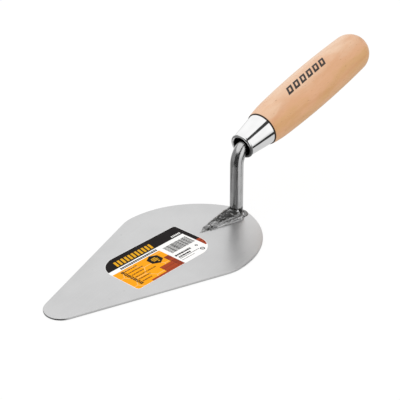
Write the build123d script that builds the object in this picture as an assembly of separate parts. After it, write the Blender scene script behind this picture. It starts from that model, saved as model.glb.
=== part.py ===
from build123d import *
import math
import os

# Brick trowel, pointed pattern, 180 mm (7 in) nominal blade.
#
# Frame: millimetres, +Z up. The blade lies flat on Z = 0, its tip points to -X and the handle
# leans back towards +X. The origin is on the blade's underside, straight below the upright
# part of the shank. The plane Y = 0 is the plane of symmetry of the whole tool.

# ---- driving dimensions -------------------------------------------------------------------

# blade
BLADE_LENGTH = 177.2        # tip to heel
BLADE_WIDTH = 99.1
BLADE_THICKNESS = 1.3
BLADE_EDGE_ROUND = 0.35     # worn edges, top and bottom
HEEL_OVERHANG = 7.2         # heel beyond the shank's axis
TIP_RADIUS = 12.0
SHOULDER_RADIUS = 30.0      # from the straight flank to the widest point
WIDEST_FROM_HEEL = 60.9
HEEL_RADIUS = 9.0

# shank: one round bar, forged into a wedge foot below and drawn to a tang above
SHANK_DIAMETER = 9.3
KNUCKLE_HEIGHT = 49.2       # where the upright and the handle's axis would cross
HANDLE_TILT = 15.2          # handle's axis above the blade, in degrees
BEND_RADIUS = 14.0          # on the bar's centre line
STRAIGHT_AFTER_BEND = 1.2   # bar left round and straight before the tang's shoulder
TANG_ROOT_DIAMETER = 7.8
TANG_TIP_DIAMETER = 5.0
TANG_LENGTH = 72.0

FOOT_LENGTH = 27.0          # forward of the shank's axis
FOOT_START = 2.5            # its back face, forward of the shank's axis
FOOT_HEIGHT = 4.6           # above the blade, at the back face
FOOT_BASE_WIDTH = 15.6
FOOT_TOP_WIDTH = 7.8
TOE_HEIGHT = 1.4
TOE_BASE_WIDTH = 5.6
TOE_TOP_WIDTH = 2.8

# weld beads: laid by hand, so the two sides are unequal; legs at the back and at the toe
LEFT_WELD_LEGS = (1.2, 1.2)
RIGHT_WELD_LEGS = (2.6, 1.7)
LEFT_WELD_CLIMB = 0.35      # share of the foot's side that the bead covers
RIGHT_WELD_CLIMB = 0.55
WELD_TAIL_LENGTH = 11.5     # run-out beyond the toe
WELD_TAIL_END_WIDTH = 1.0
WELD_TAIL_END_HEIGHT = 0.25
HEEL_WELD_LEG = 2.2

# ferrule
FERRULE_LENGTH = 22.4
FERRULE_SEAM_DIAMETER = 23.7
FERRULE_WALL = 0.9
FERRULE_REAR_CHAMFER = 0.3
LIP_BEAD_DIAMETER = 2.3     # rolled lip
LIP_FLARE = 0.5             # rolled lip stands proud of the cone
MOUTH_GAP = 0.25            # least gap between the bar's bend and the lip
LIP_OVER_BEND = 6.2         # how far the lip reaches back over the bend

# handle
HANDLE_LENGTH = 122.1       # ferrule seam to butt
BELLY_DIAMETER = 31.7
BELLY_FROM_SEAM = 65.0
NECK_LENGTH = 15.0
NECK_DROP = 1.45            # radius lost from the belly to the neck
BUTT_DROP = 1.05            # radius lost from the belly to the round of the butt
WOOD_STEP = 0.55            # wood stands proud of the ferrule at the seam
WOOD_EDGE_ROUND = 0.9
SPIGOT_CLEARANCE = 0.05
TANG_CLEARANCE = 0.05
TANG_END_CLEARANCE = 4.0    # bore deeper than the tang

# label
LABEL_LENGTH = 72.1
LABEL_WIDTH = 39.0
LABEL_THICKNESS = 0.15
LABEL_LARGE_CORNER = 14.5   # two opposite corners
LABEL_SMALL_CORNER = 2.3    # the other two
LABEL_GAP = 4.5             # from the weld's tail to the label
LABEL_OFF_CENTRE = -0.3     # the label is stuck on slightly to one side

# ---- derived places -----------------------------------------------------------------------

STANDING = (Align.CENTER, Align.CENTER, Align.MIN)
shank_radius = SHANK_DIAMETER / 2
bend_turn = 90.0 - HANDLE_TILT
bend_tangent = BEND_RADIUS * math.tan(math.radians(bend_turn / 2))
knuckle = Vector(0, 0, KNUCKLE_HEIGHT)
handle_direction = Vector(
    math.cos(math.radians(HANDLE_TILT)),
    0,
    math.sin(math.radians(HANDLE_TILT)),
)

# distances along the handle's axis, from the knuckle
lip_distance = bend_tangent - LIP_OVER_BEND
seam_distance = lip_distance + FERRULE_LENGTH
shoulder_distance = bend_tangent + STRAIGHT_AFTER_BEND
spigot_length = seam_distance - shoulder_distance

# handle frame: origin at the seam, local Z along the axis towards the butt
handle_frame = Plane(
    origin=knuckle + handle_direction * seam_distance,
    x_dir=(0, 1, 0),
    z_dir=handle_direction,
)

# ferrule radii; the mouth clears the bar where the bend crosses the front of the lip, and
# the bead's middle is half a bead behind that front
bead_radius = LIP_BEAD_DIAMETER / 2
bend_left = math.asin(LIP_OVER_BEND / BEND_RADIUS)
bend_sag = BEND_RADIUS * (1 - math.cos(bend_left))
mouth_radius = bend_sag + shank_radius / math.cos(bend_left) + MOUTH_GAP
lip_radius = mouth_radius + LIP_BEAD_DIAMETER - LIP_FLARE
seam_radius = FERRULE_SEAM_DIAMETER / 2
lip_z = bead_radius - FERRULE_LENGTH


def ferrule_outer_radius(z):
    """Radius of the ferrule's outer cone at local Z, seam at 0 and lip in front."""
    return seam_radius + (lip_radius - seam_radius) * z / lip_z


# ---- blade --------------------------------------------------------------------------------

def blade_outline():
    """Half outline from tip to heel, mirrored: tip arc, straight flank, shoulder, heel, nose."""
    half_width = BLADE_WIDTH / 2
    tip = Vector(HEEL_OVERHANG - BLADE_LENGTH, 0)
    heel = Vector(HEEL_OVERHANG, 0)
    widest = Vector(HEEL_OVERHANG - WIDEST_FROM_HEEL, half_width)
    tip_centre = tip + Vector(TIP_RADIUS, 0)
    shoulder_centre = widest - Vector(0, SHOULDER_RADIUS)
    nose_centre = heel - Vector(HEEL_RADIUS, 0)

    # straight flank: the outer tangent of the tip's and the shoulder's circles
    span = shoulder_centre - tip_centre
    span_angle = math.atan2(span.Y, span.X)
    flank_angle = span_angle + math.asin((SHOULDER_RADIUS - TIP_RADIUS) / span.length)
    flank_normal = Vector(-math.sin(flank_angle), math.cos(flank_angle))
    flank_start = tip_centre + flank_normal * TIP_RADIUS
    flank_end = shoulder_centre + flank_normal * SHOULDER_RADIUS

    # heel arc: level at the widest point and tangent to the nose's circle
    reach = nose_centre.X - widest.X
    heel_arc_radius = (reach**2 + half_width**2 - HEEL_RADIUS**2) / (2 * (half_width - HEEL_RADIUS))
    heel_centre = widest - Vector(0, heel_arc_radius)
    nose_start = nose_centre + (nose_centre - heel_centre).normalized() * HEEL_RADIUS

    tip_arc = TangentArc(tip, flank_start, tangent=(0, 1))
    flank = Line(flank_start, flank_end)
    shoulder = TangentArc(flank_end, widest, tangent=flank % 1)
    heel_arc = TangentArc(widest, nose_start, tangent=(1, 0))
    nose = TangentArc(nose_start, heel, tangent=heel_arc % 1)
    upper = [tip_arc, flank, shoulder, heel_arc, nose]
    lower = [edge.mirror(Plane.XZ) for edge in upper]
    return make_face(upper + lower)


def make_blade():
    blade = extrude(blade_outline(), amount=BLADE_THICKNESS)
    rims = blade.faces().sort_by(Axis.Z)[0].edges() + blade.faces().sort_by(Axis.Z)[-1].edges()
    return fillet(rims, BLADE_EDGE_ROUND)


# ---- shank --------------------------------------------------------------------------------

def cross_face(x, points):
    """A face across the tool at X, from (Y, height above the blade) points."""
    corners = [Vector(x, y, BLADE_THICKNESS + height) for y, height in points]
    return make_face(Polyline(corners, close=True))


def trapezoid(x, base_width, top_width, height):
    """A symmetric cross face, standing on the blade."""
    base = base_width / 2
    top = top_width / 2
    return cross_face(x, [(-base, 0), (base, 0), (top, height), (-top, height)])


def make_upright():
    """The bar's straight stretch above the blade, up to the foot's height."""
    return Pos(0, 0, BLADE_THICKNESS) * Cylinder(shank_radius, FOOT_HEIGHT, align=STANDING)


def make_foot():
    back = trapezoid(-FOOT_START, FOOT_BASE_WIDTH, FOOT_TOP_WIDTH, FOOT_HEIGHT)
    toe = trapezoid(-FOOT_LENGTH, TOE_BASE_WIDTH, TOE_TOP_WIDTH, TOE_HEIGHT)
    return loft([back, toe], ruled=True)


def make_shank():
    shoulder = knuckle + handle_direction * shoulder_distance
    path = FilletPolyline((0, 0, BLADE_THICKNESS), knuckle, shoulder, radius=BEND_RADIUS)
    bar = sweep(Plane(origin=(0, 0, BLADE_THICKNESS)) * Circle(shank_radius), path=path)
    tang = Cone(
        bottom_radius=TANG_ROOT_DIAMETER / 2,
        top_radius=TANG_TIP_DIAMETER / 2,
        height=TANG_LENGTH,
        align=STANDING,
    )
    return bar + make_foot() + handle_frame * Pos(0, 0, -spigot_length) * tang


# ---- welds --------------------------------------------------------------------------------

def weld_section(x, side, base_width, top_width, height, leg, climb):
    """Triangle between the blade and the foot's side; side is +1 (left) or -1 (right)."""
    base = base_width / 2
    climb_y = base + (top_width / 2 - base) * climb
    return cross_face(x, [(side * base, 0), (side * (base + leg), 0), (side * climb_y, height * climb)])


def make_side_weld(side, legs, climb):
    back = weld_section(
        -FOOT_START, side, FOOT_BASE_WIDTH, FOOT_TOP_WIDTH, FOOT_HEIGHT, legs[0], climb
    )
    toe = weld_section(
        -FOOT_LENGTH, side, TOE_BASE_WIDTH, TOE_TOP_WIDTH, TOE_HEIGHT, legs[1], climb
    )
    return loft([back, toe], ruled=True) - make_upright()


def make_toe_weld():
    left = TOE_BASE_WIDTH / 2 + LEFT_WELD_LEGS[1]
    right = TOE_BASE_WIDTH / 2 + RIGHT_WELD_LEGS[1]
    top = TOE_TOP_WIDTH / 2
    start = cross_face(-FOOT_LENGTH, [(-right, 0), (left, 0), (top, TOE_HEIGHT), (-top, TOE_HEIGHT)])
    end = trapezoid(
        -FOOT_LENGTH - WELD_TAIL_LENGTH,
        WELD_TAIL_END_WIDTH,
        WELD_TAIL_END_WIDTH / 2,
        WELD_TAIL_END_HEIGHT,
    )
    return loft([start, end], ruled=True)


def make_heel_weld():
    """Fillet round the bar's base, behind the foot."""
    cone = Cone(
        bottom_radius=shank_radius + HEEL_WELD_LEG,
        top_radius=shank_radius,
        height=HEEL_WELD_LEG,
        align=STANDING,
    )
    ring = Pos(0, 0, BLADE_THICKNESS) * cone - make_upright()
    return split(ring, bisect_by=Plane(origin=(-FOOT_START, 0, 0), z_dir=(1, 0, 0)), keep=Keep.TOP)


# ---- ferrule ------------------------------------------------------------------------------

def turned(profile):
    """Turn a (radius, Z) face about the handle's axis and set it in place."""
    return handle_frame * revolve(Plane.XZ * profile, Axis.Z)


def polygon(*points):
    return make_face(Polyline(*points, close=True))


def make_ferrule():
    wall = polygon(
        (seam_radius - FERRULE_REAR_CHAMFER, 0),
        (ferrule_outer_radius(-FERRULE_REAR_CHAMFER), -FERRULE_REAR_CHAMFER),
        (lip_radius, lip_z),
        (lip_radius - FERRULE_WALL, lip_z),
        (seam_radius - FERRULE_WALL, 0),
    )
    bead = Pos(mouth_radius + bead_radius, lip_z) * Circle(bead_radius)
    return turned(wall + bead)


# ---- handle -------------------------------------------------------------------------------

def handle_profile():
    """Half outline of the turned wood: edge at the seam, neck, belly, tail, round butt."""
    belly_radius = BELLY_DIAMETER / 2
    butt_radius = belly_radius - BUTT_DROP
    belly = Vector(belly_radius, BELLY_FROM_SEAM)
    neck = Vector(belly_radius - NECK_DROP, NECK_LENGTH)
    wood_edge = Vector(seam_radius + WOOD_STEP, 0)
    butt_centre = Vector(0, HANDLE_LENGTH - butt_radius)

    # tail arc: level at the belly, tangent to the round of the butt
    reach = butt_centre.Y - BELLY_FROM_SEAM
    tail_radius = (reach**2 + belly_radius**2 - butt_radius**2) / (2 * BUTT_DROP)
    tail_centre = Vector(belly_radius - tail_radius, BELLY_FROM_SEAM)
    butt_start = butt_centre + (butt_centre - tail_centre).normalized() * butt_radius

    front = TangentArc(belly, neck, tangent=(0, -1))
    swell = TangentArc(neck, wood_edge, tangent=front % 1)
    tail = TangentArc(belly, butt_start, tangent=(0, 1))
    butt = TangentArc(butt_start, (0, HANDLE_LENGTH), tangent=tail % 1)
    inside = Polyline(wood_edge, (0, 0), (0, HANDLE_LENGTH))
    profile = make_face([front, swell, tail, butt, inside])
    return fillet(profile.vertices().sort_by_distance(wood_edge)[0], WOOD_EDGE_ROUND)


def make_handle():
    # spigot inside the ferrule: the same cone, less its wall and a clearance
    inset = FERRULE_WALL + SPIGOT_CLEARANCE
    spigot = polygon(
        (0, 0),
        (seam_radius - inset, 0),
        (ferrule_outer_radius(-spigot_length) - inset, -spigot_length),
        (0, -spigot_length),
    )
    bore_depth = TANG_LENGTH + TANG_END_CLEARANCE
    taper = (TANG_ROOT_DIAMETER - TANG_TIP_DIAMETER) / 2 / TANG_LENGTH
    root_radius = TANG_ROOT_DIAMETER / 2 + TANG_CLEARANCE
    bore = polygon(
        (0, -spigot_length),
        (root_radius, -spigot_length),
        (root_radius - taper * bore_depth, bore_depth - spigot_length),
        (0, bore_depth - spigot_length),
    )
    return turned(handle_profile()) + turned(spigot) - turned(bore)


# ---- label --------------------------------------------------------------------------------

def make_label():
    """Rectangle with two large and two small round corners, diagonally opposite."""
    def diagonal(corner):
        return corner.X * corner.Y

    back_x = -FOOT_LENGTH - WELD_TAIL_LENGTH - LABEL_GAP
    centre = Pos(back_x - LABEL_LENGTH / 2, LABEL_OFF_CENTRE, BLADE_THICKNESS)
    sheet = Rectangle(LABEL_LENGTH, LABEL_WIDTH)
    sheet = fillet(sheet.vertices().group_by(diagonal)[-1], LABEL_SMALL_CORNER)
    sheet = fillet(sheet.vertices().group_by(diagonal)[0], LABEL_LARGE_CORNER)
    return centre * extrude(sheet, amount=LABEL_THICKNESS)


# ---- write the pieces ---------------------------------------------------------------------

pieces = {
    "blade": make_blade(),
    "shank": make_shank(),
    "weld_left": make_side_weld(1, LEFT_WELD_LEGS, LEFT_WELD_CLIMB),
    "weld_right": make_side_weld(-1, RIGHT_WELD_LEGS, RIGHT_WELD_CLIMB),
    "weld_toe": make_toe_weld(),
    "weld_heel": make_heel_weld(),
    "ferrule": make_ferrule(),
    "handle": make_handle(),
    "label": make_label(),
}

os.makedirs("parts", exist_ok=True)
for name, piece in pieces.items():
    export_step(piece, f"parts/{name}.step")
    print(name, "volume", round(piece.volume, 1), "mm3")
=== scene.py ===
import math
import random
from collections import namedtuple

import bmesh
import bpy
from mathutils import Matrix, Vector, noise


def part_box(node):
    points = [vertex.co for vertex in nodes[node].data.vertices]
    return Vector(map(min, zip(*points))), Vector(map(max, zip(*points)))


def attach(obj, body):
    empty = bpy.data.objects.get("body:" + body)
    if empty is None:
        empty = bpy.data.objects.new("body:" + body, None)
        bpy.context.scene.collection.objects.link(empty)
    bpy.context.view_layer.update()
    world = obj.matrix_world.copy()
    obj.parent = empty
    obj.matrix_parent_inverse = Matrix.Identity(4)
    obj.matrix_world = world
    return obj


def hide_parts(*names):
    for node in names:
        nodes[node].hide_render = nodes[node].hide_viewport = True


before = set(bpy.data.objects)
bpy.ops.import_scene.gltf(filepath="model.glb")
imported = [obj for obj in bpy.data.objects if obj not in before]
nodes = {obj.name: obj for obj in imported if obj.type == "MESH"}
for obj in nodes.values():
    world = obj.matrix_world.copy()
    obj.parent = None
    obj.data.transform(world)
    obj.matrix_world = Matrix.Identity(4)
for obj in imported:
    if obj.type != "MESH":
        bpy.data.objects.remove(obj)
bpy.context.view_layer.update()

MM = 0.001

# ---- the part's own directions and places, in metres --------------------------------------

HANDLE_TILT = math.radians(15.2)
AXIS = Vector((math.cos(HANDLE_TILT), 0.0, math.sin(HANDLE_TILT)))    # along the handle, seam to butt
ABOVE = Vector((-math.sin(HANDLE_TILT), 0.0, math.cos(HANDLE_TILT)))
SIDE = Vector((0.0, 1.0, 0.0))

blade_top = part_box("blade")[1][2]
label_low, label_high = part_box("label")


def seam_centre():
    """Where the handle's axis meets the ferrule's rear end, which is the seam with the wood."""
    ferrule = nodes["ferrule"]
    corners = [ferrule.matrix_world @ vertex.co for vertex in ferrule.data.vertices]
    along = [corner.dot(AXIS) for corner in corners]
    heights = [corner.dot(ABOVE) for corner in corners]
    return AXIS * max(along) + ABOVE * (min(heights) + max(heights)) / 2


SEAM = seam_centre()
SEAM_RADIUS = 23.7 / 2 * MM      # ferrule's outer radius at the seam
CONE_SLOPE = 0.1385              # radius lost per length, from the seam to the lip

# ---- camera -------------------------------------------------------------------------------

CAMERA_AZIMUTH = -47.42      # degrees; 0 looks along +Y
CAMERA_ELEVATION = 27.56
CAMERA_ROLL = -0.48
CAMERA_DISTANCE = 0.6608     # from the plane through the origin that faces the camera
CAMERA_PAN = (-0.02547, 0.0100)   # right and up from the origin, in that plane
SENSOR = 36.0
LENS = 84.64


def camera_axes():
    """Right, up and back directions of the camera, in the row frame."""
    a = math.radians(CAMERA_AZIMUTH)
    e = math.radians(CAMERA_ELEVATION)
    r = math.radians(CAMERA_ROLL)
    back = Vector((math.sin(a) * math.cos(e), -math.cos(a) * math.cos(e), math.sin(e)))
    right = Vector((math.cos(a), math.sin(a), 0.0))
    up = back.cross(right)
    return (
        right * math.cos(r) + up * math.sin(r),
        up * math.cos(r) - right * math.sin(r),
        back,
    )


def add_camera():
    right, up, back = camera_axes()
    data = bpy.data.cameras.new("camera")
    data.sensor_width = SENSOR
    data.lens = LENS
    data.clip_start = 0.01
    data.clip_end = 20.0
    camera = bpy.data.objects.new("camera", data)
    eye = right * CAMERA_PAN[0] + up * CAMERA_PAN[1] + back * CAMERA_DISTANCE
    turn = Matrix((right, up, back)).transposed().to_4x4()
    camera.matrix_world = Matrix.Translation(eye) @ turn
    bpy.context.scene.collection.objects.link(camera)
    bpy.context.scene.camera = camera


# ---- node helpers -------------------------------------------------------------------------


class Tree:
    """Short calls that add shader nodes and return their output sockets."""

    def __init__(self, tree):
        self.tree = tree

    def node(self, kind, **settings):
        node = self.tree.nodes.new(kind)
        for key, value in settings.items():
            setattr(node, key, value)
        return node

    def put(self, socket, value):
        if isinstance(value, bpy.types.NodeSocket):
            self.tree.links.new(value, socket)
        else:
            socket.default_value = value

    def math(self, operation, *values):
        node = self.node("ShaderNodeMath", operation=operation)
        for socket, value in zip(node.inputs, values):
            self.put(socket, value)
        return node.outputs[0]

    def add(self, a, b):
        return self.math("ADD", a, b)

    def subtract(self, a, b):
        return self.math("SUBTRACT", a, b)

    def multiply(self, product, *factors):
        for factor in factors:
            product = self.math("MULTIPLY", product, factor)
        return product

    def largest(self, a, b):
        return self.math("MAXIMUM", a, b)

    def invert(self, value):
        return self.math("SUBTRACT", 1.0, value)

    def absolute(self, value):
        return self.math("ABSOLUTE", value)

    def dot(self, vector, direction):
        node = self.node("ShaderNodeVectorMath", operation="DOT_PRODUCT")
        self.put(node.inputs[0], vector)
        node.inputs[1].default_value = tuple(direction)
        return node.outputs["Value"]

    def shift(self, vector, offset):
        node = self.node("ShaderNodeVectorMath", operation="SUBTRACT")
        self.put(node.inputs[0], vector)
        node.inputs[1].default_value = tuple(offset)
        return node.outputs[0]

    def combine(self, x, y, z=0.0):
        node = self.node("ShaderNodeCombineXYZ")
        for socket, value in zip(node.inputs, (x, y, z)):
            self.put(socket, value)
        return node.outputs[0]

    def grey(self, tone):
        return self.combine(tone, tone, tone)

    def separate(self, vector):
        node = self.node("ShaderNodeSeparateXYZ")
        self.put(node.inputs[0], vector)
        return node.outputs

    def noise(self, vector, scale, detail, roughness=0.5, distortion=0.0):
        node = self.node("ShaderNodeTexNoise")
        self.put(node.inputs["Vector"], vector)
        node.inputs["Scale"].default_value = scale
        node.inputs["Detail"].default_value = detail
        node.inputs["Roughness"].default_value = roughness
        node.inputs["Distortion"].default_value = distortion
        return node.outputs["Fac"]

    def grain(self, axes, per_metre, detail, roughness=0.5, distortion=0.0):
        """Noise drawn out along its axes, each with its own number of features per metre."""
        scaled = [self.multiply(axis, count) for axis, count in zip(axes, per_metre)]
        return self.noise(self.combine(*scaled), 1.0, detail, roughness, distortion)

    def remap(self, value, low, high, to_low=0.0, to_high=1.0, smooth=True):
        node = self.node("ShaderNodeMapRange")
        node.interpolation_type = "SMOOTHSTEP" if smooth else "LINEAR"
        self.put(node.inputs["Value"], value)
        node.inputs["From Min"].default_value = low
        node.inputs["From Max"].default_value = high
        node.inputs["To Min"].default_value = to_low
        node.inputs["To Max"].default_value = to_high
        return node.outputs["Result"]

    def fade(self, value, low, high):
        """1 below low, 0 above high."""
        return self.remap(value, low, high, 1.0, 0.0)

    def spread(self, value, to_low, to_high):
        """Low to high over the range where most of a noise's values lie."""
        return self.remap(value, 0.3, 0.7, to_low, to_high)

    def between(self, share, at_none, at_full):
        """Straight line from one number to another."""
        return self.remap(share, 0.0, 1.0, at_none, at_full, smooth=False)

    def mix(self, factor, a, b):
        node = self.node("ShaderNodeMix", data_type="RGBA")
        self.put(node.inputs["Factor"], factor)
        for name, value in (("A", a), ("B", b)):
            socket = [s for s in node.inputs if s.name == name and s.type == "RGBA"][0]
            if isinstance(value, float):
                value = (value, value, value, 1.0)
            elif isinstance(value, tuple):
                value = value + (1.0,)
            self.put(socket, value)
        return [s for s in node.outputs if s.type == "RGBA"][0]

    def scale_color(self, color, factor):
        node = self.node("ShaderNodeVectorMath", operation="SCALE")
        self.put(node.inputs[0], color)
        self.put(node.inputs["Scale"], factor)
        return node.outputs[0]

    def bump(self, height, distance, strength):
        node = self.node("ShaderNodeBump")
        self.put(node.inputs["Height"], height)
        node.inputs["Distance"].default_value = distance
        node.inputs["Strength"].default_value = strength
        return node.outputs["Normal"]

    def position(self):
        return self.node("ShaderNodeTexCoord").outputs["Object"]

    def handle_position(self):
        """Position from the seam, and its parts along the handle, above its axis and to the side."""
        p = self.shift(self.position(), SEAM)
        return p, self.dot(p, AXIS), self.dot(p, ABOVE), self.dot(p, SIDE)


def new_material(name, **sockets):
    material = bpy.data.materials.new(name)
    material.use_nodes = True
    shader = material.node_tree.nodes["Principled BSDF"]
    for key, value in sockets.items():
        shader.inputs[key.replace("_", " ")].default_value = value
    return material, Tree(material.node_tree), shader


def assign(item, material):
    item.data.materials.clear()
    item.data.materials.append(material)


# ---- studio -------------------------------------------------------------------------------

# A narrow dark flag is a strip of sky, seen only in polished metal. Each is given by its
# middle, the direction across it and its half width. It fades in as the cosine to its middle
# goes from fade_from to fade_to, and shows where the cosine to the handle's axis is past front.
Flag = namedtuple("Flag", "middle across half_width fade_from fade_to front")
FLAGS = (
    # the first reaches down to the camera, and so also draws the dark line on the shank's bend
    Flag((0.301, -0.465, 0.832), (-0.321, 0.772, 0.549), 0.160, 0.20, 0.35, -2.0),
    Flag((0.597, -0.761, -0.256), (0.231, 0.469, -0.852), 0.145, 0.55, 0.75, 0.22),
)
FLAG_EDGE = 0.02
FLAG_FRONT_EDGE = 0.14

# the dark side of the room, where the camera stands; angles are turned from its middle
ROOM_MIDDLE, ROOM_SIDE = (-0.914, -0.407, 0.0), (0.407, -0.914, 0.0)
ROOM_LEFT, ROOM_RIGHT = (0.62, 0.72), (-0.80, -0.60)
WALL_LEFT, WALL_RIGHT = (-0.75, -0.60), (-2.3, -1.9)     # grey wall beside it
WALL_SHADE = 0.72
ROOM_TOP = (0.52, 0.60)          # height at which both end
MIRRORED_BLACK = 0.05
MIRRORED_GROUND = 0.66

KEY_LIGHT = (-0.183, 0.717, 0.673)     # from the upper left
LIT, SHADED = (1.13, 1.13, 1.13), (0.90, 0.86, 0.80)


def mirrored_studio(t, look):
    """Brightness of the studio as polished metal mirrors it."""
    flags = None
    for flag in FLAGS:
        off = t.absolute(t.dot(look, flag.across))
        strip = t.fade(off, flag.half_width - FLAG_EDGE, flag.half_width + FLAG_EDGE)
        near = t.remap(t.dot(look, flag.middle), flag.fade_from, flag.fade_to)
        window = t.remap(t.dot(look, AXIS), flag.front, flag.front + FLAG_FRONT_EDGE)
        shape = t.multiply(strip, t.multiply(near, window))
        flags = shape if flags is None else t.largest(flags, shape)

    height = t.separate(look)[2]
    turn = t.math("ARCTAN2", t.dot(look, ROOM_SIDE), t.dot(look, ROOM_MIDDLE))
    room = t.multiply(t.fade(turn, *ROOM_LEFT), t.remap(turn, *ROOM_RIGHT))
    wall = t.multiply(t.fade(turn, *WALL_LEFT), t.remap(turn, *WALL_RIGHT))
    low = t.fade(height, *ROOM_TOP)
    shade = t.multiply(t.largest(room, t.multiply(wall, WALL_SHADE)), low)
    shade = t.largest(shade, flags)
    base = t.remap(height, -0.25, 0.10, MIRRORED_GROUND, 1.0)
    return t.multiply(base, t.between(shade, 1.0, MIRRORED_BLACK))


def add_world():
    """White to the camera, a soft gradient as light, and a banded room in polished metal."""
    world = bpy.data.worlds.new("studio")
    bpy.context.scene.world = world
    world.use_nodes = True
    world.cycles.sampling_method = "NONE"
    t = Tree(world.node_tree)
    background = world.node_tree.nodes["Background"]
    look = t.node("ShaderNodeTexCoord").outputs["Generated"]
    soft = t.mix(t.remap(t.dot(look, KEY_LIGHT), -1.0, 1.0), SHADED, LIT)

    path = t.node("ShaderNodeLightPath").outputs
    light = t.mix(path["Is Glossy Ray"], soft, 1.0)
    light = t.mix(path["Is Camera Ray"], light, 1.0)
    darker = t.subtract(mirrored_studio(t, look), 1.0)
    t.put(background.inputs["Color"], light)
    t.put(background.inputs["Strength"], t.add(t.multiply(path["Is Glossy Ray"], darker), 1.0))


FLOOR_REACH = 6.0
FLOOR_DROP = -0.3 * MM       # just clear of the blade's underside
FLOOR_GLOW = 0.89            # the rest of its white is light that it catches, so shadows show
FLOOR_CATCH = 0.12


def add_floor():
    reach, drop = FLOOR_REACH, FLOOR_DROP
    mesh = bpy.data.meshes.new("floor")
    mesh.from_pydata(
        [(-reach, -reach, drop), (reach, -reach, drop), (reach, reach, drop), (-reach, reach, drop)],
        [],
        [(0, 1, 2, 3)],
    )
    floor = bpy.data.objects.new("floor", mesh)
    bpy.context.scene.collection.objects.link(floor)
    material, t, shader = new_material(
        "floor_paper",
        Roughness=0.9,
        Base_Color=(FLOOR_CATCH, FLOOR_CATCH, FLOOR_CATCH, 1.0),
        Specular_IOR_Level=0.0,
        Emission_Color=(1.0, 1.0, 1.0, 1.0),
        Emission_Strength=FLOOR_GLOW,
    )
    mesh.materials.append(material)
    floor.visible_glossy = False
    floor.visible_diffuse = False


# ---- materials ----------------------------------------------------------------------------

# grinding lines run a little off the blade's length
GRIND_ALONG, GRIND_ACROSS = (0.985, 0.174, 0.0), (-0.174, 0.985, 0.0)


def blade_steel():
    material, t, shader = new_material("blade_ground_steel", Metallic=1.0)
    p = t.position()
    lines = t.dot(p, GRIND_ALONG), t.dot(p, GRIND_ACROSS)
    grind = t.grain(lines, (25.0, 1900.0), 4.0, 0.6)
    fine = t.grain(lines, (120.0, 6000.0), 2.0)
    cloud = t.noise(p, 22.0, 3.0, 0.55)
    tone = t.add(t.spread(cloud, 0.60, 0.66), t.spread(grind, -0.012, 0.012))
    # handling marks: sparse darker spots
    spots = t.remap(t.noise(p, 260.0, 2.0, 0.6), 0.70, 0.76, 0.0, 0.05)
    tone = t.subtract(tone, spots)
    t.put(shader.inputs["Base Color"], t.combine(tone, tone, t.multiply(tone, 1.003)))
    rough = t.add(t.spread(cloud, 0.30, 0.36), t.spread(grind, -0.03, 0.03))
    t.put(shader.inputs["Roughness"], rough)
    height = t.add(t.multiply(grind, 0.7), t.multiply(fine, 0.3))
    t.put(shader.inputs["Normal"], t.bump(height, 0.004 * MM, 0.6))
    return material


FORGED_SCALE = (0.030, 0.030, 0.029)


def shank_steel():
    material, t, shader = new_material("shank_satin_steel")
    p = t.position()
    x, y, z = t.separate(p)
    streak = t.grain((x, y, z), (900.0, 900.0, 60.0), 4.0, 0.6)
    cloud = t.noise(p, 130.0, 3.0, 0.6)
    tone = t.add(t.spread(cloud, 0.61, 0.70), t.spread(streak, -0.03, 0.03))
    rag = t.noise(p, 520.0, 4.0, 0.65)
    wide = t.noise(p, 190.0, 3.0, 0.6)

    # 0 on the upright bar, 1 outside it, where there is only the foot
    from_axis = t.add(t.multiply(x, x), t.multiply(y, y))
    off_bar = t.remap(from_axis, (4.7 * MM) ** 2, (4.9 * MM) ** 2)

    # dark forged scale: the top of the foot, down to a ragged edge that falls towards the toe
    ragged_z = t.add(z, t.spread(wide, -0.7 * MM, 0.7 * MM))
    edge = t.remap(x, -10.0 * MM, -3.0 * MM, 3.0 * MM, 4.6 * MM)
    upper = t.remap(t.subtract(ragged_z, edge), -0.15 * MM, 0.25 * MM)
    foot = t.multiply(upper, off_bar, t.fade(z, 7.0 * MM, 7.2 * MM))

    # a ragged collar of scale round the bar's base, thinner behind
    collar_z = t.add(z, t.spread(rag, -1.3 * MM, 1.3 * MM))
    collar = t.multiply(t.invert(off_bar), t.fade(collar_z, 6.6 * MM, 7.8 * MM))
    collar = t.multiply(collar, t.remap(x, 0.5 * MM, 2.0 * MM, 1.0, 0.35))
    scale = t.multiply(t.largest(foot, collar), t.remap(rag, 0.56, 0.68, 1.0, 0.35))

    # bare metal where the heat left it, round the front of the bar's base
    bare = t.multiply(off_bar, t.fade(from_axis, (5.9 * MM) ** 2, (6.4 * MM) ** 2))
    bare = t.multiply(bare, t.fade(y, 1.0 * MM, 2.2 * MM), t.remap(rag, 0.40, 0.50))
    scale = t.multiply(scale, t.invert(bare))

    # the foot's sides are drawn out in grey streaks
    drawn = t.grain((x, y, z), (130.0, 700.0, 700.0), 4.0, 0.6, 0.5)
    sides = t.multiply(off_bar, t.invert(foot))
    tone = t.multiply(tone, t.add(1.0, t.multiply(sides, t.remap(drawn, 0.36, 0.62, -0.74, -0.28))))

    t.put(shader.inputs["Base Color"], t.mix(scale, t.grey(tone), FORGED_SCALE))
    t.put(shader.inputs["Metallic"], t.between(scale, 1.0, 0.55))
    t.put(shader.inputs["Roughness"], t.add(t.spread(streak, 0.16, 0.24), t.multiply(scale, 0.25)))
    height = t.add(t.multiply(streak, 0.06), t.multiply(rag, scale, 1.2))
    t.put(shader.inputs["Normal"], t.bump(height, 0.12 * MM, 0.5))
    return material


# along the near side's bead, which runs in towards the toe
BEAD_ALONG, BEAD_ACROSS = (0.983, -0.182, 0.0), (0.182, 0.983, 0.0)


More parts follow.
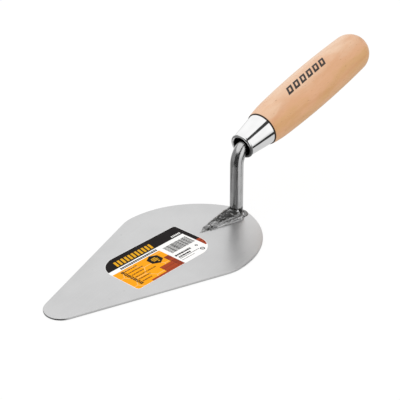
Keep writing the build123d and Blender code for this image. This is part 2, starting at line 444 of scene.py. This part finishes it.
def weld_metal():
    material, t, shader = new_material("weld_bead_steel")
    p = t.position()
    x, y, z = t.separate(p)
    across = t.dot(p, BEAD_ACROSS)
    streak = t.grain((t.dot(p, BEAD_ALONG), across, z), (110.0, 650.0, 650.0), 4.0, 0.6, 0.6)
    pits = t.remap(t.noise(p, 330.0, 3.0, 0.6), 0.60, 0.68, 1.0, 0.35)
    tone = t.multiply(t.remap(streak, 0.36, 0.60, 0.17, 0.50), pits)

    # scale left on the last blob at the toe and on the lumps behind the bar
    blob = t.multiply(t.remap(x, -34.5 * MM, -32.5 * MM), t.fade(x, -30.5 * MM, -28.5 * MM))
    behind = t.remap(x, 0.2 * MM, 3.0 * MM)
    black = t.multiply(t.largest(blob, behind), t.remap(pits, 0.4, 0.9, 1.0, 0.55))
    tone = t.multiply(tone, t.between(black, 1.0, 0.20))
    # painted highlight: the beads on the far side, toward the key light, are painted brighter
    tone = t.add(tone, t.multiply(t.remap(across, 2.2 * MM, 3.2 * MM), 0.22))
    # painted shade and highlight: pointiness paints the hollows of the ripples darker and their crests
    # brighter
    painted_ripple_shade = t.node("ShaderNodeNewGeometry").outputs["Pointiness"]
    tone = t.multiply(tone, t.remap(painted_ripple_shade, 0.44, 0.53, 0.55, 1.10))

    t.put(shader.inputs["Base Color"], t.grey(tone))
    t.put(shader.inputs["Metallic"], t.between(black, 1.0, 0.6))
    t.put(shader.inputs["Roughness"], t.add(t.spread(streak, 0.36, 0.22), t.multiply(black, 0.2)))
    t.put(shader.inputs["Normal"], t.bump(streak, 0.08 * MM, 0.45))
    return material


# near black for the painted shade in and on the ferrule
FERRULE_SHADE_BLACK = (0.02, 0.02, 0.02)


def ferrule_chrome():
    material, t, shader = new_material("ferrule_bright_plating", Metallic=1.0)
    p, along, up, side = t.handle_position()
    radius = t.math("SQRT", t.add(t.multiply(up, up), t.multiply(side, side)))
    smear = t.grain((along, up, side), (90.0, 260.0, 260.0), 3.0)
    scratch = t.grain((along, up, side), (180.0, 5200.0, 5200.0), 2.0)
    # painted shade: the bare inside of the tube, and the underside of its rolled lip, are painted near
    # black
    outer = t.add(t.multiply(along, CONE_SLOPE), SEAM_RADIUS)
    inside = t.remap(t.subtract(outer, radius), 0.45 * MM, 0.85 * MM)
    inside = t.multiply(inside, t.remap(along, -20.6 * MM, -20.2 * MM))
    around = t.math("DIVIDE", t.add(up, t.multiply(side, 0.55)), radius)
    lip = t.multiply(t.fade(along, -21.2 * MM, -20.6 * MM), t.remap(around, -0.35, 0.0, 0.80, 0.0))
    # painted shade: the dark line of the seam
    edge = t.remap(along, -0.45 * MM, -0.20 * MM)
    dark = t.largest(t.largest(inside, lip), edge)
    tone = t.spread(smear, 0.90, 0.96)
    t.put(shader.inputs["Base Color"], t.mix(dark, t.grey(tone), FERRULE_SHADE_BLACK))
    t.put(shader.inputs["Roughness"], t.add(t.spread(smear, 0.05, 0.10), t.multiply(dark, 0.4)))
    height = t.add(smear, t.multiply(scratch, 0.1))
    t.put(shader.inputs["Normal"], t.bump(height, 0.02 * MM, 0.35))
    return material


# plain printed row of slanted hollow blocks on the handle
MARK_START, MARK_END = 28.0 * MM, 73.5 * MM     # along the handle from the seam
MARK_ANGLE = math.radians(-12.5)                # round the handle from its top
MARK_HALF = 3.1 * MM                            # half of its height
MARK_BLOCKS = 6
MARK_SLANT = 90.0                               # blocks' lean, in blocks per metre of height
MARK_INK = (0.020, 0.012, 0.010)


def handle_mark(t, p, along):
    """1 where the handle is printed."""
    upward = ABOVE * math.cos(MARK_ANGLE) + SIDE * math.sin(MARK_ANGLE)
    sideways = SIDE * math.cos(MARK_ANGLE) - ABOVE * math.sin(MARK_ANGLE)
    height = t.dot(p, sideways)
    block = t.math("DIVIDE", t.subtract(along, MARK_START), (MARK_END - MARK_START) / MARK_BLOCKS)
    block = t.add(block, t.multiply(height, -MARK_SLANT))
    off_middle = t.absolute(t.subtract(t.math("FRACT", block), 0.5))
    solid = t.fade(off_middle, 0.37, 0.385)
    hollow = t.multiply(t.fade(off_middle, 0.12, 0.135), t.fade(t.absolute(height), 1.4 * MM, 1.5 * MM))
    in_row = t.multiply(
        t.math("GREATER_THAN", block, 0.0), t.math("LESS_THAN", block, float(MARK_BLOCKS))
    )
    in_height = t.fade(t.absolute(height), MARK_HALF - 0.06 * MM, MARK_HALF)
    on_top = t.math("GREATER_THAN", t.dot(p, upward), 0.0)
    return t.multiply(t.subtract(solid, hollow), in_height, in_row, on_top)


# painted light and shade: the beech is painted paler on the side toward the key light and darker and
# yellower on the side away from it; its length sets the width of the change, so the dot product is about
# -1 at the lit side and 1 at the shaded side
SHADED_SIDE_DIRECTION = Vector((0.183, -0.717, -0.673)) / (15.8 * MM)
LIT_WOOD, MIDDLE, SHADED_WOOD = (0.82, 0.56, 0.385), (0.745, 0.415, 0.235), (0.675, 0.385, 0.170)
RING_BROWN, FIBRE_BROWN, FLECK_BROWN = (0.60, 0.27, 0.12), (0.52, 0.25, 0.12), (0.33, 0.15, 0.07)
# dark brown for dirt and painted shade in the groove at the ferrule
GROOVE_DIRT_AND_SHADE = (0.035, 0.020, 0.012)


def handle_wood():
    material, t, shader = new_material(
        "handle_varnished_beech", Specular_IOR_Level=0.35, Coat_Weight=0.25, Coat_Roughness=0.35
    )
    p, along, up, side = t.handle_position()

    # the blank's annual rings: its pith lies below and behind the handle
    wander = t.grain((along, up, side), (14.0, 50.0, 50.0), 3.0)
    ring = t.add(t.multiply(up, 330.0), t.multiply(side, -260.0))
    ring = t.add(ring, t.multiply(wander, 7.0))
    ring = t.add(ring, t.multiply(along, 12.0))
    rings = t.math("SINE", t.multiply(ring, 2.2))
    fibre = t.grain((along, up, side), (70.0, 1900.0, 1900.0), 3.0, 0.6)
    cloud = t.grain((along, up, side), (32.0, 90.0, 90.0), 3.0, 0.55)

    # painted light and shade: paler pinkish wood on the lit side, darker and yellower on the shaded
    # side, with random clouding
    toward_shade = t.add(t.dot(p, SHADED_SIDE_DIRECTION), t.remap(cloud, 0.25, 0.75, -0.45, 0.45))
    color = t.mix(t.remap(toward_shade, -0.95, 0.15), LIT_WOOD, MIDDLE)
    color = t.mix(t.remap(toward_shade, 0.05, 0.95), color, SHADED_WOOD)
    color = t.mix(t.multiply(t.remap(rings, 0.2, 1.0), 0.16), color, RING_BROWN)
    color = t.mix(t.multiply(t.remap(fibre, 0.50, 0.72), 0.16), color, FIBRE_BROWN)
    # short dark beech flecks along the grain
    fleck = t.grain((along, up, side), (330.0, 1500.0, 1500.0), 1.0, 0.4)
    flecks = t.remap(fleck, 0.715, 0.76)
    color = t.mix(t.multiply(flecks, 0.55), color, FLECK_BROWN)
    # dirt and painted shade in the groove at the ferrule
    color = t.mix(t.fade(along, 0.35 * MM, 0.85 * MM), color, GROOVE_DIRT_AND_SHADE)
    wear = t.remap(fibre, 0.25, 0.45, 0.80, 1.0)
    color = t.mix(t.multiply(handle_mark(t, p, along), wear), color, MARK_INK)

    t.put(shader.inputs["Base Color"], color)
    t.put(shader.inputs["Roughness"], t.spread(fibre, 0.38, 0.50))
    relief = t.subtract(t.multiply(fibre, 0.6), t.multiply(flecks, 0.8))
    t.put(shader.inputs["Normal"], t.bump(relief, 0.03 * MM, 0.5))
    return material


FILM_WHITE = (0.97, 0.97, 0.965)


def label_film(name, printed):
    material, t, shader = new_material(name, Specular_IOR_Level=0.05)
    p = t.position()
    fibre = t.noise(p, 1400.0, 3.0, 0.6)
    patch = t.noise(p, 70.0, 2.0, 0.5)
    shade = t.add(t.spread(fibre, 0.965, 1.02), t.spread(patch, -0.02, 0.02))
    ink = t.node("ShaderNodeAttribute", attribute_name="ink").outputs["Color"] if printed else FILM_WHITE
    t.put(shader.inputs["Base Color"], t.scale_color(ink, shade))
    t.put(shader.inputs["Roughness"], t.spread(patch, 0.42, 0.55))
    t.put(shader.inputs["Normal"], t.bump(fibre, 0.006 * MM, 0.4))
    return material


# ---- pieces -------------------------------------------------------------------------------


def add_piece(name, mesh, material, slot, *replaced):
    piece = bpy.data.objects.new(name, mesh)
    bpy.context.scene.collection.objects.link(piece)
    assign(piece, material)
    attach(piece, "root")
    if replaced:
        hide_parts(*replaced)
    return piece


def mesh_of(name, vertices, faces, smooth_angle):
    """Smooth mesh, with edges sharper than smooth_angle degrees left sharp."""
    mesh = bpy.data.meshes.new(name)
    mesh.from_pydata([tuple(v) for v in vertices], [], faces)
    bm = bmesh.new()
    bm.from_mesh(mesh)
    bmesh.ops.recalc_face_normals(bm, faces=bm.faces)
    limit = math.radians(smooth_angle)
    for face in bm.faces:
        face.smooth = True
    for edge in bm.edges:
        edge.smooth = len(edge.link_faces) == 2 and edge.calc_face_angle(0.0) < limit
    bm.to_mesh(mesh)
    bm.free()
    return mesh


# ---- label print: thin closed plates of ink on the label's film, in mm -------------------------

INKS = {
    "black": (0.011, 0.008, 0.008),
    "orange": (0.97, 0.385, 0.004),
    "thin_line": (1.0, 0.62, 0.25),
    "yellow": (0.80, 0.40, 0.012),
    "brick": (0.40, 0.062, 0.019),
    "brick_dark": (0.31, 0.045, 0.015),
    "mortar": (0.10, 0.02, 0.01),
    "white": (0.90, 0.90, 0.89),
    "grey": (0.035, 0.035, 0.035),
    "text": (0.24, 0.08, 0.004),
}
SHEET = 0.02           # thickness of one layer of ink
FILM_SINK = 0.5        # share of a layer that is sunk in the film, so that none floats
LAYER_STEP = 0.7       # layers overlap by the rest

LARGE_CORNER = 14.5    # the label's outline, as in the CAD
SMALL_CORNER = 2.3
PRINT_MARGIN = 0.25
ARC_STEPS = 12

# colour fields, measured from the label's sides
BAND_WIDTH = 11.5      # black band along one side
STRIP_WIDTH = 4.1      # strip along the heel end
PANEL_LENGTH = 41.7    # orange panel, from the tip end
PANEL_WIDTH = 23.6


class Print:
    """Plates of ink, all in one mesh. Lengths are in mm."""

    def __init__(self, outline):
        self.outline = outline
        self.bm = bmesh.new()
        self.ink = self.bm.loops.layers.float_color.new("ink")

    def plate(self, points, ink, layer):
        """A closed plate over points. Layer 0 lies on the film, 1 on layer 0."""
        low = label_high[2] / MM - SHEET * FILM_SINK + SHEET * LAYER_STEP * layer
        high = low + SHEET
        bottom = [self.bm.verts.new((px * MM, py * MM, low * MM)) for px, py in points]
        top = [self.bm.verts.new((px * MM, py * MM, high * MM)) for px, py in points]
        faces = [self.bm.faces.new(top), self.bm.faces.new(bottom[::-1])]
        for i in range(len(points)):
            j = (i + 1) % len(points)
            faces.append(self.bm.faces.new((bottom[i], bottom[j], top[j], top[i])))
        for face in faces:
            for loop in face.loops:
                loop[self.ink] = INKS[ink] + (1.0,)

    def cut(self, points, x0, x1, y0, y1):
        """Points of a convex shape, cut to a rectangle and to the label's outline."""
        limits = [(-1, 0, -x0), (1, 0, x1), (0, -1, -y0), (0, 1, y1)]
        for (ax, ay), (bx, by) in zip(self.outline, self.outline[1:] + self.outline[:1]):
            nx, ny = by - ay, ax - bx
            limits.append((nx, ny, nx * ax + ny * ay))
        for a, b, c in limits:
            kept = []
            for i, (px, py) in enumerate(points):
                qx, qy = points[(i + 1) % len(points)]
                p_out, q_out = a * px + b * py - c, a * qx + b * qy - c
                if p_out <= 0:
                    kept.append((px, py))
                if p_out * q_out < 0:
                    f = p_out / (p_out - q_out)
                    kept.append((px + (qx - px) * f, py + (qy - py) * f))
            points = kept
        return [p for i, p in enumerate(points) if math.dist(p, points[i - 1]) > 0.01]

    def clipped(self, x0, x1, y0, y1, ink, layer):
        """A rectangle, rounded where it reaches the label's outline."""
        points = self.cut([(x0, y0), (x1, y0), (x1, y1), (x0, y1)], x0, x1, y0, y1)
        if len(points) > 2:
            self.plate(points, ink, layer)

    def bar(self, x0, x1, y0, y1, ink, layer, lean=0.0):
        self.plate([(x0, y0), (x1, y0), (x1 + lean, y1), (x0 + lean, y1)], ink, layer)

    def block(self, x, y, half_x, half_y, ink, layer):
        self.bar(x - half_x, x + half_x, y - half_y, y + half_y, ink, layer)

    def stroke(self, start, end, width, box, ink, layer):
        dx, dy = end[0] - start[0], end[1] - start[1]
        length = math.hypot(dx, dy)
        nx, ny = -dy / length * width / 2, dx / length * width / 2
        ends = [
            (start[0] - nx, start[1] - ny), (end[0] - nx, end[1] - ny),
            (end[0] + nx, end[1] + ny), (start[0] + nx, start[1] + ny),
        ]
        points = self.cut(ends, *box)
        if len(points) > 2:
            self.plate(points, ink, layer)

    def polygon(self, x, y, radius, sides, ink, layer, turn=0.0):
        points = []
        for i in range(sides):
            a = turn + 2 * math.pi * i / sides
            points.append((x + radius * math.cos(a), y + radius * math.sin(a)))
        self.plate(points, ink, layer)

    def dashes(self, x0, x1, y, height, ink, layer, rng, longest, gap):
        """A run of short bars that stands for a line of small print."""
        x = x0
        while x < x1 - 0.5:
            length = min(rng.uniform(0.9, longest), x1 - x)
            self.bar(x, x + length, y - height / 2, y + height / 2, ink, layer)
            x += length + gap


def label_outline(inset):
    """Rounded outline of the label, anticlockwise. Two opposite corners are large."""
    x0, y0 = label_low[0] / MM + inset, label_low[1] / MM + inset
    x1, y1 = label_high[0] / MM - inset, label_high[1] / MM - inset
    points = []
    for cx, cy, sx, sy, radius, start in (
        (x0, y0, 1, 1, SMALL_CORNER, 180), (x1, y0, -1, 1, LARGE_CORNER, 270),
        (x1, y1, -1, -1, SMALL_CORNER, 0), (x0, y1, 1, -1, LARGE_CORNER, 90),
    ):
        radius -= inset
        for i in range(ARC_STEPS + 1):
            a = math.radians(start + 90 * i / ARC_STEPS)
            px = cx + sx * radius + radius * math.cos(a)
            py = cy + sy * radius + radius * math.sin(a)
            points.append((px, py))
    return points


def print_fields(sheet, x0, x1, y0, y1, band, strip, split, panel_top):
    """Plain fields of colour, and two joints across the brick-coloured one."""
    brick_low, brick_high = y0 + 6.2, y0 + 15.3
    sheet.clipped(x0, x1, band, y1, "black", 0)
    sheet.clipped(strip, x1, brick_high, band, "black", 0)
    sheet.clipped(strip, x1, brick_low, brick_high, "brick", 0)
    for y in (y0 + 9.0, y0 + 12.3):
        sheet.clipped(strip + 0.3, x1, y, y + 0.6, "mortar", 1)
    sheet.clipped(x0, split, y0, panel_top, "orange", 0)


def print_honeycomb(sheet, x0, y0, split, panel_top):
    """Thin lines of flattened hexagons over the orange panel."""
    cell, flatten, line = 8.6, 0.8, 0.36
    edges = set()
    for i in range(6):
        for j in range(5):
            cx = x0 - 1.0 + i * cell * 1.5
            cy = y0 - 2.0 + (j + 0.5 * (i % 2)) * cell * math.sqrt(3) * flatten
            ring = []
            for k in range(6):
                a = math.pi * k / 3
                px, py = cx + cell * math.cos(a), cy + flatten * cell * math.sin(a)
                ring.append((round(px, 3), round(py, 3)))
            for k in range(6):
                edges.add(tuple(sorted((ring[k], ring[(k + 1) % 6]))))
    for start, end in sorted(edges):
        sheet.stroke(start, end, line, (x0, split, y0, panel_top), "thin_line", 1)


def print_bricks(sheet, rng, y0, split):
    """Stepped brickwork in the corner of the orange panel, two courses to a step."""
    joint = 0.12
    steps = (
        # low, high, reach from the panel's end, length of a brick
        (y0 + 8.4, y0 + 15.1, 4.4, 9.0),
        (y0 + 2.0, y0 + 8.4, 14.8, 11.2),
        (y0, y0 + 2.0, 28.4, 13.0),
    )
    for low, high, reach, length in steps:
        sheet.clipped(split - reach, split, low, high, "mortar", 2)
        middle = (low + high) / 2
        courses = ((low, middle), (middle, high)) if high - low > 3 else ((low, high),)
        x = split - reach
        while x < split - 0.5:
            end = min(x + length, split)
            for a, b in courses:
                ink = rng.choice(("brick", "brick", "brick_dark"))
                sheet.clipped(x + joint, end - joint, a + joint, b - joint, ink, 3)
            x = end


def print_name_bars(sheet, x0, band, strip):
    """Plain slanted bars where a maker would put a name and a number."""
    start, end, count = x0 + 9.6, x0 + 43.2, 11
    pitch = (end - start) / count
    for i in range(count):
        x = start + i * pitch
        sheet.bar(x, x + pitch * 0.62, band + 1.3, band + 6.9, "yellow", 1, lean=1.1)
    for i in range(6):
        x = strip - 8.6 + i * 1.45
        sheet.bar(x, x + 0.9, band + 1.2, band + 3.0, "white", 1, lean=0.3)


def print_panel(sheet, rng, x0, y0, panel_top):
    """Lines of small print, a column of square symbols and a plain hexagonal badge."""
    for i, length in enumerate((10.5, 12.4, 11.0, 17.6, 9.8, 8.0)):
        x, y = x0 + 8.6, panel_top - 2.5 - 3.22 * i
        sheet.dashes(x, x + length, y, 0.95, "text", 3, rng, 3.4, 0.4)
    for i in range(7):
        x, y = x0 + 6.8, panel_top - 2.6 - 2.78 * i
        half_x, half_y = (0.4, 0.5) if i % 2 else (0.65, 0.2)
        sheet.block(x, y, 1.15, 1.12, "black", 3)
        sheet.block(x, y, half_x, half_y, "orange", 4)
    x, y = x0 + 31.8, y0 + 17.6
    sheet.polygon(x, y, 5.5, 6, "black", 3, math.pi / 6)
    for dy, half in ((1.6, 1.9), (0.2, 2.6), (-1.2, 2.2)):
        sheet.block(x, y + dy, half, 0.42, "yellow", 4)
    sheet.polygon(x + 1.0, y - 2.9, 0.7, 12, "yellow", 4)


def print_white_panel(sheet, rng, y0, strip, split):
    """Bars that encode nothing, two bold lines, two thin ones and two round symbols."""
    x = split + 3.4
    while x < strip - 1.6:
        width = rng.choice((0.34, 0.42, 0.62, 0.90))
        sheet.bar(x, min(x + width, strip - 1.2), y0 + 14.4, y0 + 23.8, "grey", 0)
        x += width + rng.choice((0.24, 0.28, 0.40))
    sheet.dashes(split + 1.8, strip - 10.0, y0 + 10.6, 1.7, "black", 0, rng, 2.2, 0.35)
    sheet.dashes(split + 2.4, strip - 13.2, y0 + 7.8, 1.6, "black", 0, rng, 2.2, 0.35)
    sheet.dashes(split + 1.8, strip - 6.5, y0 + 6.0, 0.50, "grey", 0, rng, 9.0, 0.3)
    sheet.dashes(split + 1.4, strip - 13.6, y0 + 3.8, 0.45, "grey", 0, rng, 6.0, 0.3)
    for x, y, radius in ((strip - 5.0, y0 + 10.1, 1.1), (strip - 5.2, y0 + 4.3, 1.7)):
        sheet.polygon(x, y, radius, 24, "black", 0)
        sheet.polygon(x, y, radius * 0.60, 24, "white", 1)
        sheet.block(x, y, radius * 0.5, 0.2, "black", 2)


def add_label_print():
    rng = random.Random(11)
    sheet = Print(label_outline(PRINT_MARGIN))
    x0, y0 = label_low[0] / MM, label_low[1] / MM
    x1, y1 = label_high[0] / MM, label_high[1] / MM
    band = y1 - BAND_WIDTH
    strip = x1 - STRIP_WIDTH
    split = x0 + PANEL_LENGTH
    panel_top = y0 + PANEL_WIDTH

    print_fields(sheet, x0, x1, y0, y1, band, strip, split, panel_top)
    print_honeycomb(sheet, x0, y0, split, panel_top)
    print_bricks(sheet, rng, y0, split)
    print_name_bars(sheet, x0, band, strip)
    # a line of print on the white strip under the band
    sheet.dashes(x0 + 9.0, split - 0.5, band - 2.1, 1.9, "black", 0, rng, 1.7, 0.32)
    print_panel(sheet, rng, x0, y0, panel_top)
    print_white_panel(sheet, rng, y0, strip, split)

    mesh = bpy.data.meshes.new("label_print")
    sheet.bm.to_mesh(mesh)
    sheet.bm.free()
    piece = add_piece("label_print", mesh, label_film("label_ink", True), "label_film")
    piece.visible_glossy = False


# ---- weld beads: rippled domes laid along a path on the blade ----------------------------------

RIPPLE_PITCH = 1.35    # mm
BEAD_SINK = 0.15       # mm, below the blade's top face


def path_point(knots, f):
    """Smooth value along a list of equally spaced tuples, f from 0 to 1."""
    position = f * (len(knots) - 1)
    i = min(int(position), len(knots) - 2)
    u = position - i
    before, a = knots[max(i - 1, 0)], knots[i]
    b, after = knots[i + 1], knots[min(i + 2, len(knots) - 1)]
    u2, u3 = u * u, u * u * u
    out = []
    for p0, p1, p2, p3 in zip(before, a, b, after):
        m1, m2 = (p2 - p0) / 2, (p3 - p1) / 2
        start = (2 * u3 - 3 * u2 + 1) * p1 + (u3 - 2 * u2 + u) * m1
        out.append(start + (3 * u2 - 2 * u3) * p2 + (u3 - u2) * m2)
    return out


def bead_height(half, height, ripple, run, v, seed):
    """Height of the dome at run mm along it and v from -1 to 1 across it."""
    dome = max(0.0, 1 - abs(v) ** 2.4) ** 0.6
    # each ripple is a crescent, trailing towards the sides
    wave = (run + 0.9 * half * v * v) / RIPPLE_PITCH
    crest = abs(math.sin(math.pi * wave)) ** 0.7 - 0.5
    lump = noise.noise(Vector((run * 0.9 + seed, v * 1.3, seed)))
    return dome * (height + ripple * crest + 0.30 * ripple * lump + 0.22 * height * lump)


def weld_bead(name, knots, ripple, replaced, material, seed, rings=110, across=20):
    """Closed dome along knots of (x, y, half width, height), with ripples ripple high, in mm."""
    base = blade_top / MM - BEAD_SINK
    length = sum(math.dist(a[:2], b[:2]) for a, b in zip(knots, knots[1:]))
    vertices = []
    for i in range(rings + 1):
        f = i / rings
        x, y, half, height = path_point(knots, f)
        ax, ay = path_point(knots, max(f - 0.01, 0.0))[:2]
        bx, by = path_point(knots, min(f + 0.01, 1.0))[:2]
        scale = math.hypot(bx - ax, by - ay) or 1.0
        nx, ny = -(by - ay) / scale, (bx - ax) / scale
        # the last three rings close in at each end
        taper = min(1.0, f * rings / 3 + 0.15, (1 - f) * rings / 3 + 0.15)
        for k in range(across + 1):
            v = -1 + 2 * k / across
            wobble = 1 + 0.16 * noise.noise(Vector((f * length * 0.5, seed, v * 0.3)))
            side = v * half * wobble * math.sqrt(taper)
            z = base
            if abs(v) < 1:
                z += taper * bead_height(half, height, ripple, f * length, v, seed)
            vertices.append(Vector((x + nx * side, y + ny * side, z)) * MM)

    row = across + 1
    faces = []
    for i in range(rings):
        for k in range(across):
            a = i * row + k
            faces.append((a, a + 1, a + row + 1, a + row))
        faces.append((i * row, (i + 1) * row, (i + 1) * row + across, i * row + across))
    faces.append(tuple(range(across, -1, -1)))
    faces.append(tuple(range(rings * row, rings * row + row)))
    add_piece(name, mesh_of(name, vertices, faces, 75.0), material, "weld_metal", *replaced)


def add_welds():
    """The beads as laid by hand: each has its own route, width and height."""
    metal = weld_metal()
    weld_bead("weld_near_side", [
        (-1.6, -6.6, 0.9, 2.2), (-4.6, -8.2, 1.8, 2.8), (-11.0, -6.9, 1.7, 2.3),
        (-18.5, -5.0, 1.4, 1.7), (-24.5, -3.9, 1.2, 1.3), (-31.0, -2.6, 0.9, 0.8),
    ], 0.10, ["weld_right"], metal, 3.0)
    weld_bead("weld_far_side", [
        (-1.8, 8.0, 0.7, 1.0), (-6.0, 7.4, 0.8, 1.1), (-11.5, 6.2, 0.8, 1.1),
        (-18.5, 4.9, 0.8, 1.0), (-24.5, 3.8, 0.8, 1.0), (-28.5, 2.6, 0.6, 0.8),
    ], 0.10, ["weld_left"], metal, 17.0)
    weld_bead("weld_toe_run", [
        (-26.2, 0.6, 2.2, 1.1), (-28.4, 0.6, 2.7, 1.5), (-31.0, 0.4, 2.7, 1.5),
        (-33.4, 0.0, 2.0, 1.1), (-36.0, -0.3, 1.2, 0.5), (-38.4, -0.2, 0.3, 0.3),
    ], 0.22, ["weld_toe"], metal, 29.0)
    weld_bead("weld_heel_run", [
        (-1.2, -7.6, 1.0, 0.8), (2.0, -7.2, 1.5, 0.5), (4.6, -4.6, 1.6, 0.45),
        (5.3, -0.6, 1.5, 0.5), (4.4, 4.0, 1.2, 0.9), (-1.0, 6.8, 0.8, 1.0),
    ], 0.16, ["weld_heel"], metal, 41.0)


# ---- everything ---------------------------------------------------------------------------

add_camera()
add_world()
add_floor()

assign(nodes["blade"], blade_steel())
assign(nodes["shank"], shank_steel())
assign(nodes["ferrule"], ferrule_chrome())
assign(nodes["handle"], handle_wood())
assign(nodes["label"], label_film("label_white_film", False))
nodes["label"].visible_glossy = False
add_label_print()
add_welds()

bpy.context.scene.view_settings.view_transform = "Standard"
